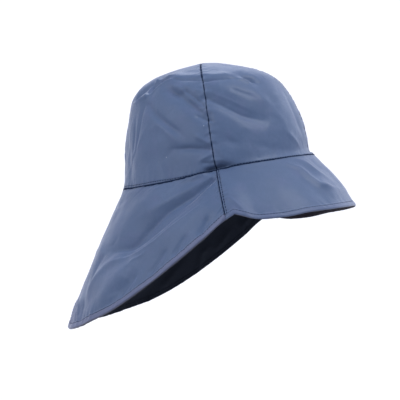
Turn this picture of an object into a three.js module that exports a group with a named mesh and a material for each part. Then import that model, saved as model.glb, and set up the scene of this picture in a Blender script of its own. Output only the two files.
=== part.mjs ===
// A rain hat of coated cloth, in the form that it has on a head: a crown of four gores, a short front
// brim and a long flap over the neck, each with a dark cloth on its inside.
// Millimetres, +Z up, +X to the front brim, +Y to the wearer's left. The origin is the middle of the
// head opening, level with the band seam that joins the crown to the brim and the flap.
import * as THREE from 'three';
import { mergeVertices } from 'three/addons/utils/BufferGeometryUtils.js';

// Driving dimensions. Angles go round the hat in degrees: 0 at the front, 90 at the wearer's left,
// -90 at the right and 180 at the back.
const CLOTH = 1.4; // outer cloth with its coating
const LINING = 1; // dark cloth under the brim and inside the flap
const GAP = 0.3; // between pieces that are sewn together
const BAND_TILT = THREE.MathUtils.degToRad(10); // the band seam rises towards the front
const SIDE_SEAM = 90; // the brim meets the flap here, below the crown's ear-to-ear seam
const NOTCH = 87; // the hem's corner, where the brim's edge turns up into the flap's
const SKIRT_BOW = { bulge: 2.2, lift: 0.6, skew: 1.2 }; // how far brim and flap bow out below the band
const HEM = { width: 6, ramp: 1.5, proud: 0.6, rows: 2 }; // the turned edge, with rows of points of its own
const LINING_INSET = 1.2; // the lining stops this short of the hem's edge

// Level sections of the crown in the band's tilted plane, from the band seam to the top. back, front
// and half are measured from the middle of the head opening. seam is where the ear-to-ear seam crosses.
const CROWN_SECTIONS = [
  { height: 0, back: 104, front: 102.5, half: 83, seam: 12 },
  { height: 6, back: 101.9, front: 98, half: 82.4, seam: 12 },
  { height: 22, back: 97, front: 98, half: 80.8, seam: 12 },
  { height: 42, back: 93.3, front: 96, half: 78.6, seam: 12 },
  { height: 64, back: 89, front: 89.6, half: 74.5, seam: 12 },
  { height: 82, back: 83.4, front: 80.5, half: 68, seam: 11.8 },
  { height: 94, back: 76.5, front: 67.5, half: 60, seam: 10.5 },
  { height: 104, back: 64.5, front: 47.5, half: 48, seam: 8.5 },
  { height: 110.5, back: 49, front: 29, half: 34, seam: 6.5 },
  { height: 114.2, back: 28, front: 18, half: 18, seam: 5 },
  { height: 115.6, back: -4, front: 4, half: 0, seam: 4 },
].map((row, level) => ({ level, ...row }));

// How far the band seam sinks below its plane, which the cloth above follows up to SAG_HEIGHT.
const BAND_SAG = [
  { angle: 0, sag: 0 },
  { angle: 60, sag: 2 },
  { angle: 90, sag: 2.5 },
  { angle: 110, sag: 5 },
  { angle: 135, sag: 4 },
  { angle: 160, sag: 1 },
  { angle: 180, sag: 0 },
];
const SAG_HEIGHT = 45;

// The hem from the middle of the front to the notch, and from the notch to the middle of the back.
// twist lowers the flap's hem on the wearer's right, and lifts it as much on the left.
const FRONT_HEM = [
  { angle: 0, along: 143.3, out: 0, height: -35.4, twist: 0 },
  { angle: 20, along: 139.6, out: 38.5, height: -36.8, twist: 0 },
  { angle: 40, along: 126, out: 70.5, height: -39.3, twist: 0 },
  { angle: 55, along: 107.5, out: 90, height: -42.3, twist: 0 },
  { angle: 70, along: 80, out: 103.5, height: -47.9, twist: 0 },
  { angle: 80, along: 56, out: 109.5, height: -49, twist: 0 },
  { angle: NOTCH, along: 36.7, out: 112, height: -44.5, twist: 0 },
];
const REAR_HEM = [
  { angle: NOTCH, along: 36.7, out: 112, height: -44.5, twist: 0 },
  { angle: SIDE_SEAM, along: 28.5, out: 114, height: -50, twist: 0 },
  { angle: 100, along: 4.5, out: 117.5, height: -71, twist: 0 },
  { angle: 112, along: -25.7, out: 115.5, height: -95.6, twist: 0 },
  { angle: 124, along: -58, out: 107.5, height: -119.5, twist: 0 },
  { angle: 138, along: -93, out: 92.5, height: -141, twist: 0.5 },
  { angle: 152, along: -125.2, out: 71, height: -154.5, twist: 1.5 },
  { angle: 166, along: -150.5, out: 43, height: -163, twist: 2 },
  { angle: 180, along: -163.4, out: 0, height: -163.5, twist: 0 },
];

// Folds and dents, each along a line from one angle and place to another, alike on both sides.
// rise is how far the cloth stands out, or in where it is negative. On the crown the place is a level,
// a row of CROWN_SECTIONS, and on the skirt it is the share of the way from the hem up to the band.
const CROWN_FOLDS = [
  { name: 'shoulder dent', from: [131, 5.9], to: [127, 6.7], width: 9, rise: -4 },
  { name: 'ridge under the dent', from: [139, 5.2], to: [110, 6.5], width: 7, rise: 1.6 },
  { name: 'ridge over the dent', from: [140, 6.6], to: [112, 7], width: 7, rise: 1.4 },
  { name: 'diagonal valley', from: [88, 4.4], to: [52, 2.9], width: 9, rise: -2 },
  { name: 'ridge over the valley', from: [80, 5], to: [46, 3.8], width: 9, rise: 1.2 },
  { name: 'rear hollow', from: [166, 4.7], to: [148, 0.8], width: 10, rise: -1.8 },
  { name: 'front dent', from: [53, 5.6], to: [44, 4.9], width: 8, rise: -1.6 },
  { name: 'band down to the ear seam', from: [119, 5.8], to: [92, 4], width: 9, rise: -2.2 },
  { name: 'streak behind the shoulder', from: [135, 4.5], to: [150, 2], width: 7, rise: -1.4 },
];
const SKIRT_FOLDS = [
  { name: 'long flap ridge', from: [97, 0.48], to: [155, 0.3], width: 12, rise: 2.6 },
  { name: 'fan from the side seam', from: [94, 0.88], to: [134, 0.46], width: 15, rise: -3.4 },
  { name: 'swell under the band', from: [122, 0.9], to: [158, 0.55], width: 16, rise: 1.8 },
  { name: 'hollow by the tip', from: [163, 0.34], to: [158, 0.06], width: 11, rise: -2 },
  { name: 'brim ridge', from: [29, 0.85], to: [30, 0.4], width: 9, rise: 1.4 },
  { name: 'brim hollow', from: [44, 0.75], to: [40, 0.2], width: 12, rise: -1.4 },
  { name: 'ridge over the notch', from: [84, 0.5], to: [83, 0.08], width: 9, rise: 1 },
  { name: 'brim valley', from: [33, 0.82], to: [27, 0.45], width: 7, rise: -1.6 },
  { name: 'hollow above the flap ridge', from: [158, 0.58], to: [138, 0.52], width: 8, rise: -1.4 },
];
const FOLD_PIECES = 8; // straight pieces that stand for a fold's line

// Mesh steps
const GORE_COLUMNS = 14;
const GORE_ROWS = 17;
const LAST_RING = 9.75; // the level of the last row of faces below the crown's top
const TOP_LEVEL = 9.98; // where the gores' tips stop, just short of each other
const BRIM_COLUMNS = 28;
const FLAP_COLUMNS = 42;
const SKIRT_ROWS = 6;
const NORMAL_STEP = { angle: 0.2, place: 0.01 }; // for the slopes of a surface

const COATED = { color: 0x5e6d8f, roughness: 0.45, metalness: 0 };
const DARK = { color: 0x262b37, roughness: 0.8, metalness: 0 };

// The crown's gores, each between the seams at two angles, and the columns between stops of the skirt.
const GORES = [
  { name: 'crown_front_left', from: 0, to: 90 },
  { name: 'crown_back_left', from: 90, to: 180 },
  { name: 'crown_back_right', from: -180, to: -90 },
  { name: 'crown_front_right', from: -90, to: 0 },
];
const FRONT = { stops: [-SIDE_SEAM, -NOTCH, NOTCH, SIDE_SEAM], steps: [1, BRIM_COLUMNS, 1] };
const REAR = { stops: [SIDE_SEAM, 360 - SIDE_SEAM], steps: [FLAP_COLUMNS] };

// A smooth row between the rows of a table, whose first column is its key, by cubic pieces.
function between(rows, at) {
  const key = Object.keys(rows[0])[0];
  let i = rows.findIndex((row) => row[key] > at) - 1;
  if (i < -1) i = rows.length - 2;
  i = THREE.MathUtils.clamp(i, 0, rows.length - 2);
  const step = rows[i + 1][key] - rows[i][key];
  const t = (at - rows[i][key]) / step;
  const chord = (k, column) => (rows[k + 1][column] - rows[k][column]) / (rows[k + 1][key] - rows[k][key]);
  const slope = (k, column) => {
    if (k === 0) return chord(0, column);
    if (k === rows.length - 1) return chord(k - 1, column);
    const before = rows[k][key] - rows[k - 1][key];
    const after = rows[k + 1][key] - rows[k][key];
    return (chord(k - 1, column) * after + chord(k, column) * before) / (before + after);
  };
  const blended = {};
  for (const column of Object.keys(rows[0])) {
    const [a, b] = [rows[i][column], rows[i + 1][column]];
    const ends = (2 * t ** 3 - 3 * t ** 2 + 1) * a + (3 * t ** 2 - 2 * t ** 3) * b;
    const slopes = (t ** 3 - 2 * t ** 2 + t) * slope(i, column) + (t ** 3 - t ** 2) * slope(i + 1, column);
    blended[column] = ends + slopes * step;
  }
  return blended;
}

// The table of one half of the hat, carried on to the other half.
function bothSides(rows, middle) {
  const turned = (row) => ({ ...row, angle: 2 * middle - row.angle, out: -row.out, twist: -row.twist });
  const others = rows.filter((row) => row.angle !== middle).map(turned);
  return [...rows, ...others].sort((a, b) => a.angle - b.angle);
}
const WHOLE_FRONT_HEM = bothSides(FRONT_HEM, 0);
const WHOLE_REAR_HEM = bothSides(REAR_HEM, 180);

// A point of the band's tilted plane, in the part's frame.
function tilted(along, out, height) {
  const x = along * Math.cos(BAND_TILT) - height * Math.sin(BAND_TILT);
  return new THREE.Vector3(x, out, along * Math.sin(BAND_TILT) + height * Math.cos(BAND_TILT));
}

function crownForm(angle, level) {
  const row = between(CROWN_SECTIONS, level);
  const turn = THREE.MathUtils.degToRad(angle);
  const reach = Math.cos(turn) > 0 ? row.front - row.seam : row.back + row.seam;
  const fromBack = 180 - Math.abs(Math.abs(angle) - 180);
  const sag = between(BAND_SAG, fromBack).sag * Math.max(0, 1 - row.height / SAG_HEIGHT) ** 2;
  return tilted(row.seam + reach * Math.cos(turn), row.half * Math.sin(turn), row.height - sag);
}

function hemPoint(angle) {
  const turned = angle < 0 ? angle + 360 : angle;
  const onFront = Math.abs(angle) <= NOTCH;
  const row = onFront ? between(WHOLE_FRONT_HEM, angle) : between(WHOLE_REAR_HEM, turned);
  return new THREE.Vector3(row.along, row.out, row.height + row.twist);
}

// Brim and flap are one skirt round the band seam, and rise is the share of the way up from its hem.
function skirtForm(angle, rise) {
  const turn = THREE.MathUtils.degToRad(angle);
  const out = new THREE.Vector3(Math.cos(turn), Math.sin(turn), SKIRT_BOW.lift).normalize();
  const bow = SKIRT_BOW.bulge * Math.sin(Math.PI * (1 - rise) ** SKIRT_BOW.skew);
  return hemPoint(angle).lerp(crownForm(angle, 0), rise).addScaledVector(out, bow);
}

// The unit normal of a surface, out of the hat. No finite step goes past the surface's top.
function normalOf(surface, angle, place) {
  const { point, top } = surface;
  const at = Math.min(place, top - NORMAL_STEP.place);
  const around = point(angle + NORMAL_STEP.angle, at).sub(point(angle - NORMAL_STEP.angle, at));
  const up = point(angle, at + NORMAL_STEP.place).sub(point(angle, at - NORMAL_STEP.place));
  return around.cross(up).normalize();
}

// The surface with its folds pressed in.
function folded(form, folds, top) {
  const plain = { point: form, top };
  const lines = folds.flatMap((fold) => [1, -1].map((side) => {
    const line = [];
    for (let k = 0; k <= FOLD_PIECES; k += 1) {
      const share = k / FOLD_PIECES;
      const angle = THREE.MathUtils.lerp(fold.from[0], fold.to[0], share);
      line.push(form(side * angle, THREE.MathUtils.lerp(fold.from[1], fold.to[1], share)));
    }
    return { ...fold, line };
  }));
  const nearest = new THREE.Vector3();
  const riseAt = (point) => lines.reduce((sum, { line, width, rise }) => {
    let best = Infinity;
    for (let k = 0; k < FOLD_PIECES; k += 1) {
      new THREE.Line3(line[k], line[k + 1]).closestPointToPoint(point, true, nearest);
      best = Math.min(best, nearest.distanceTo(point));
    }
    return sum + rise * Math.exp(-((best / width) ** 2));
  }, 0);
  const point = (angle, place) => {
    const base = form(angle, place);
    return base.clone().addScaledVector(normalOf(plain, angle, place), riseAt(base));
  };
  return { point, top };
}
const crown = folded(crownForm, CROWN_FOLDS, CROWN_SECTIONS.length - 1);
const skirt = folded(skirtForm, SKIRT_FOLDS, 1);

// A closed cloth wall between two grids of points, outer and inner, whose rows go up and whose columns
// go round to the left. A row may shrink to one point.
function wall(outer, inner) {
  const rows = outer.length;
  const columns = outer[0].length;
  const points = [...outer.flat(), ...inner.flat()];
  const index = (layer, row, column) => layer * rows * columns + row * columns + column;
  const faces = [];
  const quad = (a, b, c, d) => faces.push(a, b, c, a, c, d);
  for (let r = 0; r < rows - 1; r += 1) {
    for (let c = 0; c < columns - 1; c += 1) {
      quad(index(0, r, c), index(0, r, c + 1), index(0, r + 1, c + 1), index(0, r + 1, c));
      quad(index(1, r, c), index(1, r + 1, c), index(1, r + 1, c + 1), index(1, r, c + 1));
    }
    const last = columns - 1;
    quad(index(0, r, 0), index(0, r + 1, 0), index(1, r + 1, 0), index(1, r, 0));
    quad(index(0, r, last), index(1, r, last), index(1, r + 1, last), index(0, r + 1, last));
  }
  for (let c = 0; c < columns - 1; c += 1) {
    const last = rows - 1;
    quad(index(0, 0, c), index(1, 0, c), index(1, 0, c + 1), index(0, 0, c + 1));
    quad(index(0, last, c), index(0, last, c + 1), index(1, last, c + 1), index(1, last, c));
  }
  const loose = new THREE.BufferGeometry().setFromPoints(points);
  loose.setIndex(faces);
  const geometry = mergeVertices(loose);
  const merged = geometry.getIndex().array;
  const kept = [];
  for (let f = 0; f < merged.length; f += 3) {
    const [a, b, c] = merged.slice(f, f + 3);
    if (a !== b && b !== c && c !== a) kept.push(a, b, c);
  }
  geometry.setIndex(kept);
  geometry.computeVertexNormals();
  return geometry;
}

// One gore of the crown, between two seams, with its edges half a gap from each seam's plane.
function gore(from, to) {
  const levels = Array.from({ length: GORE_ROWS + 1 }, (_, k) => (LAST_RING * k) / GORE_ROWS);
  const insetAt = (seamAngle, level) => {
    const row = between(CROWN_SECTIONS, level);
    const endSeam = seamAngle % 180 === 0;
    const shorter = Math.min(row.front - row.seam, row.back + row.seam);
    return THREE.MathUtils.radToDeg(Math.asin(GAP / 2 / (endSeam ? row.half : shorter)));
  };
  const ring = (depth) => (level) => Array.from({ length: GORE_COLUMNS + 1 }, (_, k) => {
    const first = from + insetAt(from, level);
    const last = to - insetAt(to, level);
    const angle = THREE.MathUtils.lerp(first, last, k / GORE_COLUMNS);
    return crown.point(angle, level).addScaledVector(normalOf(crown, angle, level), -depth);
  });
  const tip = (depth) => {
    const angle = (from + to) / 2;
    const point = crown.point(angle, TOP_LEVEL).addScaledVector(normalOf(crown, angle, TOP_LEVEL), -depth);
    return Array.from({ length: GORE_COLUMNS + 1 }, () => point.clone());
  };
  const side = (depth) => [...levels.map(ring(depth)), tip(depth)];
  return wall(side(0), side(CLOTH));
}

// A layer of the skirt, whose columns go through the angles in stops with steps columns between each
// two. Its outer face lies at depth below the skirt's surface, and proud is how far its turned hem
// stands out. All layers of one part of the skirt share their columns and rows.
function skirtLayer({ stops, steps, depth, thickness, inset, proud }) {
  const insetAngle = THREE.MathUtils.radToDeg(GAP / 2 / between(CROWN_SECTIONS, 0).half);
  const [first, last] = [stops[0] + insetAngle, stops[stops.length - 1] - insetAngle];
  const ends = [first, ...stops.slice(1, -1), last];
  const angles = steps.flatMap((count, i) => (
    Array.from({ length: count }, (_, k) => THREE.MathUtils.lerp(ends[i], ends[i + 1], k / count))));
  angles.push(last);
  const risesAt = (angle) => {
    const length = hemPoint(angle).distanceTo(crownForm(angle, 0));
    const foot = HEM.width / length;
    const top = 1 - GAP / length;
    const share = (k) => THREE.MathUtils.lerp(foot, top, k / SKIRT_ROWS);
    const above = Array.from({ length: SKIRT_ROWS + 1 }, (_, k) => share(k));
    return [inset / length, (HEM.width - HEM.ramp) / length, ...above];
  };
  const grid = (down, hemProud) => {
    const lines = angles.map((angle) => risesAt(angle).map((rise, k) => {
      const out = (k < HEM.rows ? hemProud : 0) - down;
      return skirt.point(angle, rise).addScaledVector(normalOf(skirt, angle, rise), out);
    }));
    return lines[0].map((_, row) => lines.map((line) => line[row]));
  };
  return wall(grid(depth, proud), grid(depth + thickness, 0));
}

function piece(name, geometry, looks) {
  const mesh = new THREE.Mesh(geometry, new THREE.MeshStandardMaterial(looks));
  mesh.name = name;
  return mesh;
}

const OUTER = { depth: 0, thickness: CLOTH, inset: 0, proud: HEM.proud };
const INNER = { depth: CLOTH + GAP, thickness: LINING, inset: LINING_INSET, proud: 0 };

const hat = new THREE.Group();
hat.name = 'rain_hat';
for (const { name, from, to } of GORES) hat.add(piece(name, gore(from, to), COATED));
hat.add(piece('brim', skirtLayer({ ...FRONT, ...OUTER }), COATED));
hat.add(piece('neck_flap', skirtLayer({ ...REAR, ...OUTER }), COATED));
hat.add(piece('brim_lining', skirtLayer({ ...FRONT, ...INNER }), DARK));
hat.add(piece('flap_lining', skirtLayer({ ...REAR, ...INNER }), DARK));

export default hat;
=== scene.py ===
"""The looks of a rain hat of coated cloth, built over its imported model.

Metres, +Z up, +X to the front brim, +Y to the wearer's left. Angles go round the hat in degrees, 0 at the
front, 90 at the wearer's left and 180 at the back. On the crown a place is a level, a row of
CROWN_SECTIONS. On the brim and flap it is a rise, the share of the way from the hem up to the band seam.
"""
import math
from types import SimpleNamespace

import bpy
import numpy as np
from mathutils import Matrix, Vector


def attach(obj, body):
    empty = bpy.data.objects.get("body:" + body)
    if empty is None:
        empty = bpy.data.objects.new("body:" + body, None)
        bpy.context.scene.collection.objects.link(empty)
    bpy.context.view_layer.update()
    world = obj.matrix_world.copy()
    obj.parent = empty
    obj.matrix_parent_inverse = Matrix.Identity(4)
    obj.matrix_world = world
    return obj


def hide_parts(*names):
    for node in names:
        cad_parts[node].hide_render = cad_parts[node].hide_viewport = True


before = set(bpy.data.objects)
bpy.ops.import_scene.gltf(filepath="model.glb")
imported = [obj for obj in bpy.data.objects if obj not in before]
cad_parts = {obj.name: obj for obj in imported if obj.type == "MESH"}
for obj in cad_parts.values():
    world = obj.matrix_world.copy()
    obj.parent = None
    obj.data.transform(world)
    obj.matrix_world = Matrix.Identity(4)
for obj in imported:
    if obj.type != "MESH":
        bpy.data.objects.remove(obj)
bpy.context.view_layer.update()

# Driving dimensions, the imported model's own
CLOTH = 0.0014  # thickness of crown, brim and flap
LINING = 0.001
GAP = 0.0003  # between two layers
BAND_TILT = math.radians(10)
SIDE_SEAM = 90.0
NOTCH = 87.0  # angle where the brim's hem steps down to the flap's
SKIRT_BULGE = 0.0022
SAG_HEIGHT = 0.045  # up to which the crown follows the band's sag
TOP_LEVEL = 9.995
HEM_WIDTH = 0.006
HEM_PROUD = 0.0006
LINING_INSET = 0.0012

CROWN_SECTIONS = np.array([  # level, height, back, front, half, seam
    (0, 0.0000, 0.1040, 0.1025, 0.0830, 0.0120),
    (1, 0.0060, 0.1019, 0.0980, 0.0824, 0.0120),
    (2, 0.0220, 0.0970, 0.0980, 0.0808, 0.0120),
    (3, 0.0420, 0.0933, 0.0960, 0.0786, 0.0120),
    (4, 0.0640, 0.0890, 0.0896, 0.0745, 0.0120),
    (5, 0.0820, 0.0834, 0.0805, 0.0680, 0.0118),
    (6, 0.0940, 0.0765, 0.0675, 0.0600, 0.0105),
    (7, 0.1040, 0.0645, 0.0475, 0.0480, 0.0085),
    (8, 0.1105, 0.0490, 0.0290, 0.0340, 0.0065),
    (9, 0.1142, 0.0280, 0.0180, 0.0180, 0.0050),
    (10, 0.1156, -0.0040, 0.0040, 0.0000, 0.0040),
])
BAND_SAG = np.array([  # angle, sag
    (0, 0), (60, 0.002), (90, 0.0025), (110, 0.005), (135, 0.004), (160, 0.001), (180, 0),
])
FRONT_HEM = [  # angle, along, out, height, twist
    (0, 0.1433, 0, -0.0354, 0),
    (20, 0.1396, 0.0385, -0.0368, 0),
    (40, 0.1260, 0.0705, -0.0393, 0),
    (55, 0.1075, 0.0900, -0.0423, 0),
    (70, 0.0800, 0.1035, -0.0479, 0),
    (80, 0.0560, 0.1095, -0.0490, 0),
    (87, 0.0367, 0.1120, -0.0445, 0),
]
REAR_HEM = [
    FRONT_HEM[-1],
    (90, 0.0285, 0.1140, -0.0500, 0),
    (100, 0.0045, 0.1175, -0.0710, 0),
    (112, -0.0257, 0.1155, -0.0956, 0),
    (124, -0.0580, 0.1075, -0.1195, 0),
    (138, -0.0930, 0.0925, -0.1410, 0.0005),
    (152, -0.1252, 0.0710, -0.1545, 0.0015),
    (166, -0.1505, 0.0430, -0.1630, 0.0020),
    (180, -0.1634, 0, -0.1635, 0),
]

# Folds, each along a path of (angle, place) points on the wearer's right, and once more on the left with
# small changes. width and rise, how far the cloth stands out, are in millimetres. soft is 0 for a sharp
# crease and 2 for a round swell, start and end are the shares of rise that are left at the path's two ends,
# lean makes the side to the left of the path steep, and spread widens the fold along its path.
MM = 0.001


def fold(path, width, rise, soft=2.0, start=1.0, end=1.0, lean=0.0, spread=1.0):
    return SimpleNamespace(path=path, width=MM * width, rise=MM * rise, soft=soft, start=start, end=end,
                           lean=lean, spread=spread)


CROWN_FOLDS = {  # path, width, rise, soft, start, end, lean, spread
    "shoulder dent": ([(131, 5.9), (127, 6.7)], 9, -3.6),
    "under the dent": ([(139, 5.2), (110, 6.5)], 7, 1.4),
    "over the dent": ([(140, 6.6), (112, 7)], 7, 1.2),
    "diagonal valley": ([(88, 4.4), (52, 2.9)], 9, -2),
    "over the valley": ([(80, 5), (46, 3.8)], 9, 1.2),
    "rear hollow": ([(166, 4.7), (148, 0.8)], 10, -1.8),
    "front dent": ([(53, 5.6), (44, 4.9)], 8, -1.6),
    "junction dent": ([(98, 0.05), (92.5, 0.26), (86, 0.36), (76, 0.1)], 3.4, -7.2, 0.7, 0.1, 0.1),
    "shoulder ridge low": ([(158, 5.35), (146, 5.2), (134.2, 5.5)], 2.8, 2.2, 0.2, 0.1, 0.9, 0.3),
    "shoulder ridge up": ([(134.2, 5.5), (134.8, 6.2), (131, 6.9)], 2.4, 2.2, 0.2, 0.8, 0.9),
    "shoulder ridge top": ([(131, 6.9), (122.8, 6.93), (110, 6.75)], 2.8, 1.9, 0.2, 0.9, 0.2),
    "dent lip": ([(134, 5.35), (130, 5.62), (124.8, 6.05), (115, 6.4), (106, 6.48)],
        2.4, 2, 0.2, 0.6, 0.2, -0.3),
    "dent bottom": ([(132, 5.75), (130, 6.2), (125, 6.5), (116, 6.6)], 3.2, -2.6, 0.5, 0.6, 0.4, 0, 0.7),
    "shoulder facet": ([(157, 5.6), (151, 5.7), (146.8, 6.1), (141, 6.45), (136, 6.6)],
        6, -4.4, 1, 0.3, 0.8),
    "top crease": ([(113, 6.5), (104.5, 6.15), (98.5, 6), (89, 5.58), (79.8, 5.48), (69, 5.38),
        (60, 5.35)], 1.9, -1.5, 0.15, 0.7, 0.3, 0.4),
    "top swell": ([(116, 6.95), (95, 6.3), (70, 5.85), (58, 5.6)], 5, 1.2, 0.8, 0.4, 0.3),
    "front pit": ([(50, 5.4), (46.5, 5.2), (44, 4.85)], 3.2, -2.8, 0.4, 0.9, 0.3, 0, 1.3),
    "front pit lip": ([(61, 5.42), (54, 5.2), (51, 4.95)], 2.8, 1.6, 0.3, 0.2, 0.9),
    "front ridge": ([(52, 5), (50, 4.25), (41.8, 3.53), (34.2, 2.78), (30.5, 1.95), (25.8, 1.12)],
        7, 0.6, 0.7, 0.6, 0.2, 0.3),
    "valley line": ([(90.5, 4.4), (81, 3.98), (74.2, 3.62), (66.5, 3.25), (58, 3), (49, 2.78)],
        3.8, -1.7, 0.4, 0.9, 0.1, 0.5, 1.3),
    "valley brow": ([(88, 4.75), (80.5, 4.4), (72.8, 4.05), (64.2, 3.65), (54.8, 3.25)],
        2.6, 0.7, 0.3, 0.7, 0.2, -0.2, 1.2),
    "upper valley": ([(70, 4.7), (66.8, 4.55), (61.8, 4.33), (55.2, 4.08), (51, 3.9)],
        3, -1, 0.4, 0.3, 0.2, 0.3),
    "rear streak 1": ([(139, 4.7), (142.2, 3.28), (147, 2.2)], 2.2, 0.8, 0.3, 0.3, 0.2, 0, 1.3),
    "rear streak 2": ([(135, 4.7), (139.2, 3.58), (143.5, 2.75), (151, 1.9)],
        4, -1.5, 0.4, 0.6, 0.1, 0.3, 1.2),
    "rear streak 3": ([(129, 3.8), (140.5, 2.88), (151, 2.35), (161, 1.1)],
        3.4, 0.7, 0.4, 0.2, 0.2, 0, 1.2),
    "rear streak 4": ([(144, 4.4), (145.5, 3.4), (149, 2.4)], 2.4, -0.9, 0.3, 0.3, 0.2),
    "rear streak 5": ([(152, 4.5), (156, 3.08), (164, 1.5)], 4.4, 0.6, 0.5, 0.2, 0.2),
    "back diagonal": ([(131, 4.8), (119.8, 3.85), (112.2, 3.3), (103, 2.65)],
        4.6, -2.2, 0.5, 0.6, 0.1, 0.4, 1.2),
    "back diagonal light": ([(132, 4.3), (116.5, 3.25), (106, 2.4)], 4.8, 1.3, 0.6, 0.4, 0.2, 0, 1.2),
    "seam band": ([(118, 5.8), (111.5, 5.38), (105.5, 4.78), (99.2, 4.2), (93.8, 3.7), (90.5, 3.45)],
        7, -3.8, 0.7, 0.2, 0.9, 0.4),
    "seam band crest": ([(113, 6), (107, 5.5), (101, 4.85), (95, 4.2)], 2.6, 1.2, 0.3, 0.2, 0.5),
    "seam diagonal": ([(105, 5.35), (101.5, 5.05), (96.5, 4.55), (91.5, 4)], 3.4, -2, 0.4, 0.1, 1, 0.5),
    "pucker 1": ([(98, 3.65), (90.3, 3.28)], 2.4, -1.6, 0.3, 0.1),
    "pucker 2": ([(99, 2.75), (91, 2.15)], 3.4, 1.5, 0.4, 0.2, 0.9),
    "pucker 3": ([(114, 2.3), (102, 2.15), (91.5, 1.88)], 3.4, -2.2, 0.3, 0.1, 0.9, 0.5),
    "pucker 4": ([(98, 1.35), (91, 1.62)], 2.8, 1.2, 0.4, 0.2),
    "pucker 5": ([(97, 1.2), (91, 1.1)], 2.2, -1.4, 0.3, 0.1),
    "pucker 6": ([(97, 5), (91, 4.75)], 2.6, 1.2, 0.3, 0.1),
    "upper patch": ([(113, 5.4), (107, 4.95), (102, 5)], 5, -1.3, 0.8),
    "front low ridge": ([(36, 2.3), (25.5, 1.65), (20, 1.15)], 4, 1, 0.4, 0.2, 0.3),
    "front low hollow": ([(66, 1.9), (50.2, 1.38), (24, 0.93)], 6, -0.6, 0.8, 0.2, 0.3),
    "side patch": ([(84, 2.3), (76, 2), (69, 1.85)], 6, -0.8, 0.8, 0.3, 0.3),
    "back centre fold": ([(176, 4.4), (172, 2.6), (174, 0.9)], 4.5, 1.5, 0.4, 0.2, 0.2, 0.4),
    "front centre fold": ([(14, 4.6), (16, 3), (11, 1.4)], 6, -0.9, 0.8, 0.2, 0.2),
}
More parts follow.
